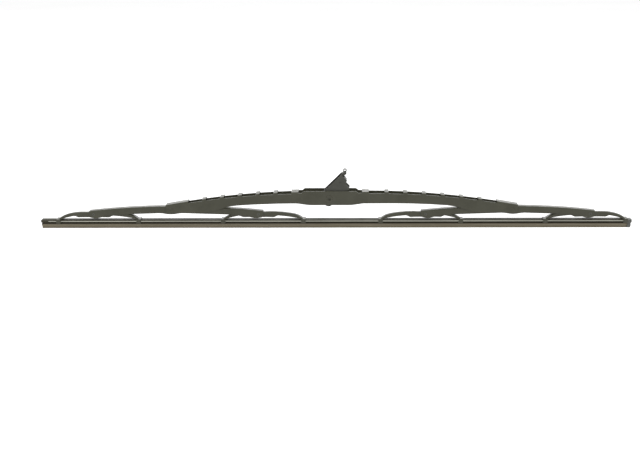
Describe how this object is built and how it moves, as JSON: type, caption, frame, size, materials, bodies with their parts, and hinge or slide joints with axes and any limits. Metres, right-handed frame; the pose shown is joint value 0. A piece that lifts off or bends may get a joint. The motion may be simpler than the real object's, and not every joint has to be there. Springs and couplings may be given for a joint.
{
  "type": "wiper blade",
  "caption": "Long windscreen wiper blade: folded steel bridge, pivoting yokes and claw bridges that carry a rubber wiping strip, with a hinged clip for the arm.",
  "frame": {"origin": "centre of the arm pivot rivet, in the middle plane of the blade", "axes": "+X along the blade towards the capped end of the strip, +Y across the blade along the pivot rivets, +Z from the wiping lip towards the arm"},
  "size_m": [0.6502, 0.017, 0.0671],
  "materials": {
    "dark_paint": "dark warm grey paint over pressed steel sheet, satin",
    "black_plastic": "moulded dark grey plastic, fine grain",
    "bare_steel": "drawn spring steel and plain rivets",
    "wiper_rubber": "matt natural rubber, brown grey"
  },
  "bodies": {
    "bridge": {"main_bridge": "dark_paint", "arm_pivot_rivet": "bare_steel", "yoke_rivet_left": "bare_steel", "yoke_rivet_right": "bare_steel", "wiper_strip": "wiper_rubber", "rail_front": "bare_steel", "rail_back": "bare_steel"},
    "clip": {"arm_clip": "black_plastic"},
    "left_yoke": {"yoke_left": "dark_paint", "yoke_liner_left": "black_plastic", "claw_rivet_left_outer": "bare_steel", "claw_rivet_left_inner": "bare_steel"},
    "right_yoke": {"yoke_right": "dark_paint", "yoke_liner_right": "black_plastic", "claw_rivet_right_inner": "bare_steel", "claw_rivet_right_outer": "bare_steel"},
    "left_outer_claws": {"claw_bridge_left_outer": "dark_paint", "claw_liner_left_outer": "black_plastic"},
    "left_inner_claws": {"claw_bridge_left_inner": "dark_paint", "claw_liner_left_inner": "black_plastic"},
    "right_inner_claws": {"claw_bridge_right_inner": "dark_paint", "claw_liner_right_inner": "black_plastic"},
    "right_outer_claws": {"claw_bridge_right_outer": "dark_paint", "claw_liner_right_outer": "black_plastic", "end_cap": "black_plastic"}
  },
  "joints": [
    {"name": "clip_hinge", "type": "hinge", "parent": "bridge", "child": "clip", "pos_m": [0, 0, 0], "axis": [0, -1, 0], "range_deg": [-44.5, 38]},
    {"name": "yoke_left_hinge", "type": "hinge", "parent": "bridge", "child": "left_yoke", "pos_m": [-0.1744, 0, -0.0133], "axis": [0, -1, 0], "range_deg": [-3, 5], "stiffness_Nm_per_rad": 0.7, "deforming": ["wiper_strip", "rail_front", "rail_back"]},
    {"name": "yoke_right_hinge", "type": "hinge", "parent": "bridge", "child": "right_yoke", "pos_m": [0.2014, 0, -0.0133], "axis": [0, 1, 0], "range_deg": [-3, 5], "stiffness_Nm_per_rad": 0.7},
    {"name": "claw_left_outer_hinge", "type": "hinge", "parent": "left_yoke", "child": "left_outer_claws", "pos_m": [-0.2597, 0, -0.0187], "axis": [0, -1, 0], "range_deg": [-1.5, 2.4]},
    {"name": "claw_left_inner_hinge", "type": "hinge", "parent": "left_yoke", "child": "left_inner_claws", "pos_m": [-0.0784, 0, -0.0187], "axis": [0, -1, 0], "range_deg": [-2.7, 1.7]},
    {"name": "claw_right_inner_hinge", "type": "hinge", "parent": "right_yoke", "child": "right_inner_claws", "pos_m": [0.1054, 0, -0.0187], "axis": [0, 1, 0], "range_deg": [-2.7, 1.7]},
    {"name": "claw_right_outer_hinge", "type": "hinge", "parent": "right_yoke", "child": "right_outer_claws", "pos_m": [0.2867, 0, -0.0187], "axis": [0, 1, 0], "range_deg": [-1.5, 2.4]}
  ],
  "couplings": [
    {"joint": "yoke_right_hinge", "follows": "yoke_left_hinge", "ratio": 1},
    {"joint": "claw_left_outer_hinge", "follows": "yoke_left_hinge", "ratio": 0.4675},
    {"joint": "claw_left_inner_hinge", "follows": "yoke_left_hinge", "ratio": -0.5256},
    {"joint": "claw_right_inner_hinge", "follows": "yoke_left_hinge", "ratio": -0.5256},
    {"joint": "claw_right_outer_hinge", "follows": "yoke_left_hinge", "ratio": 0.4675}
  ]
}
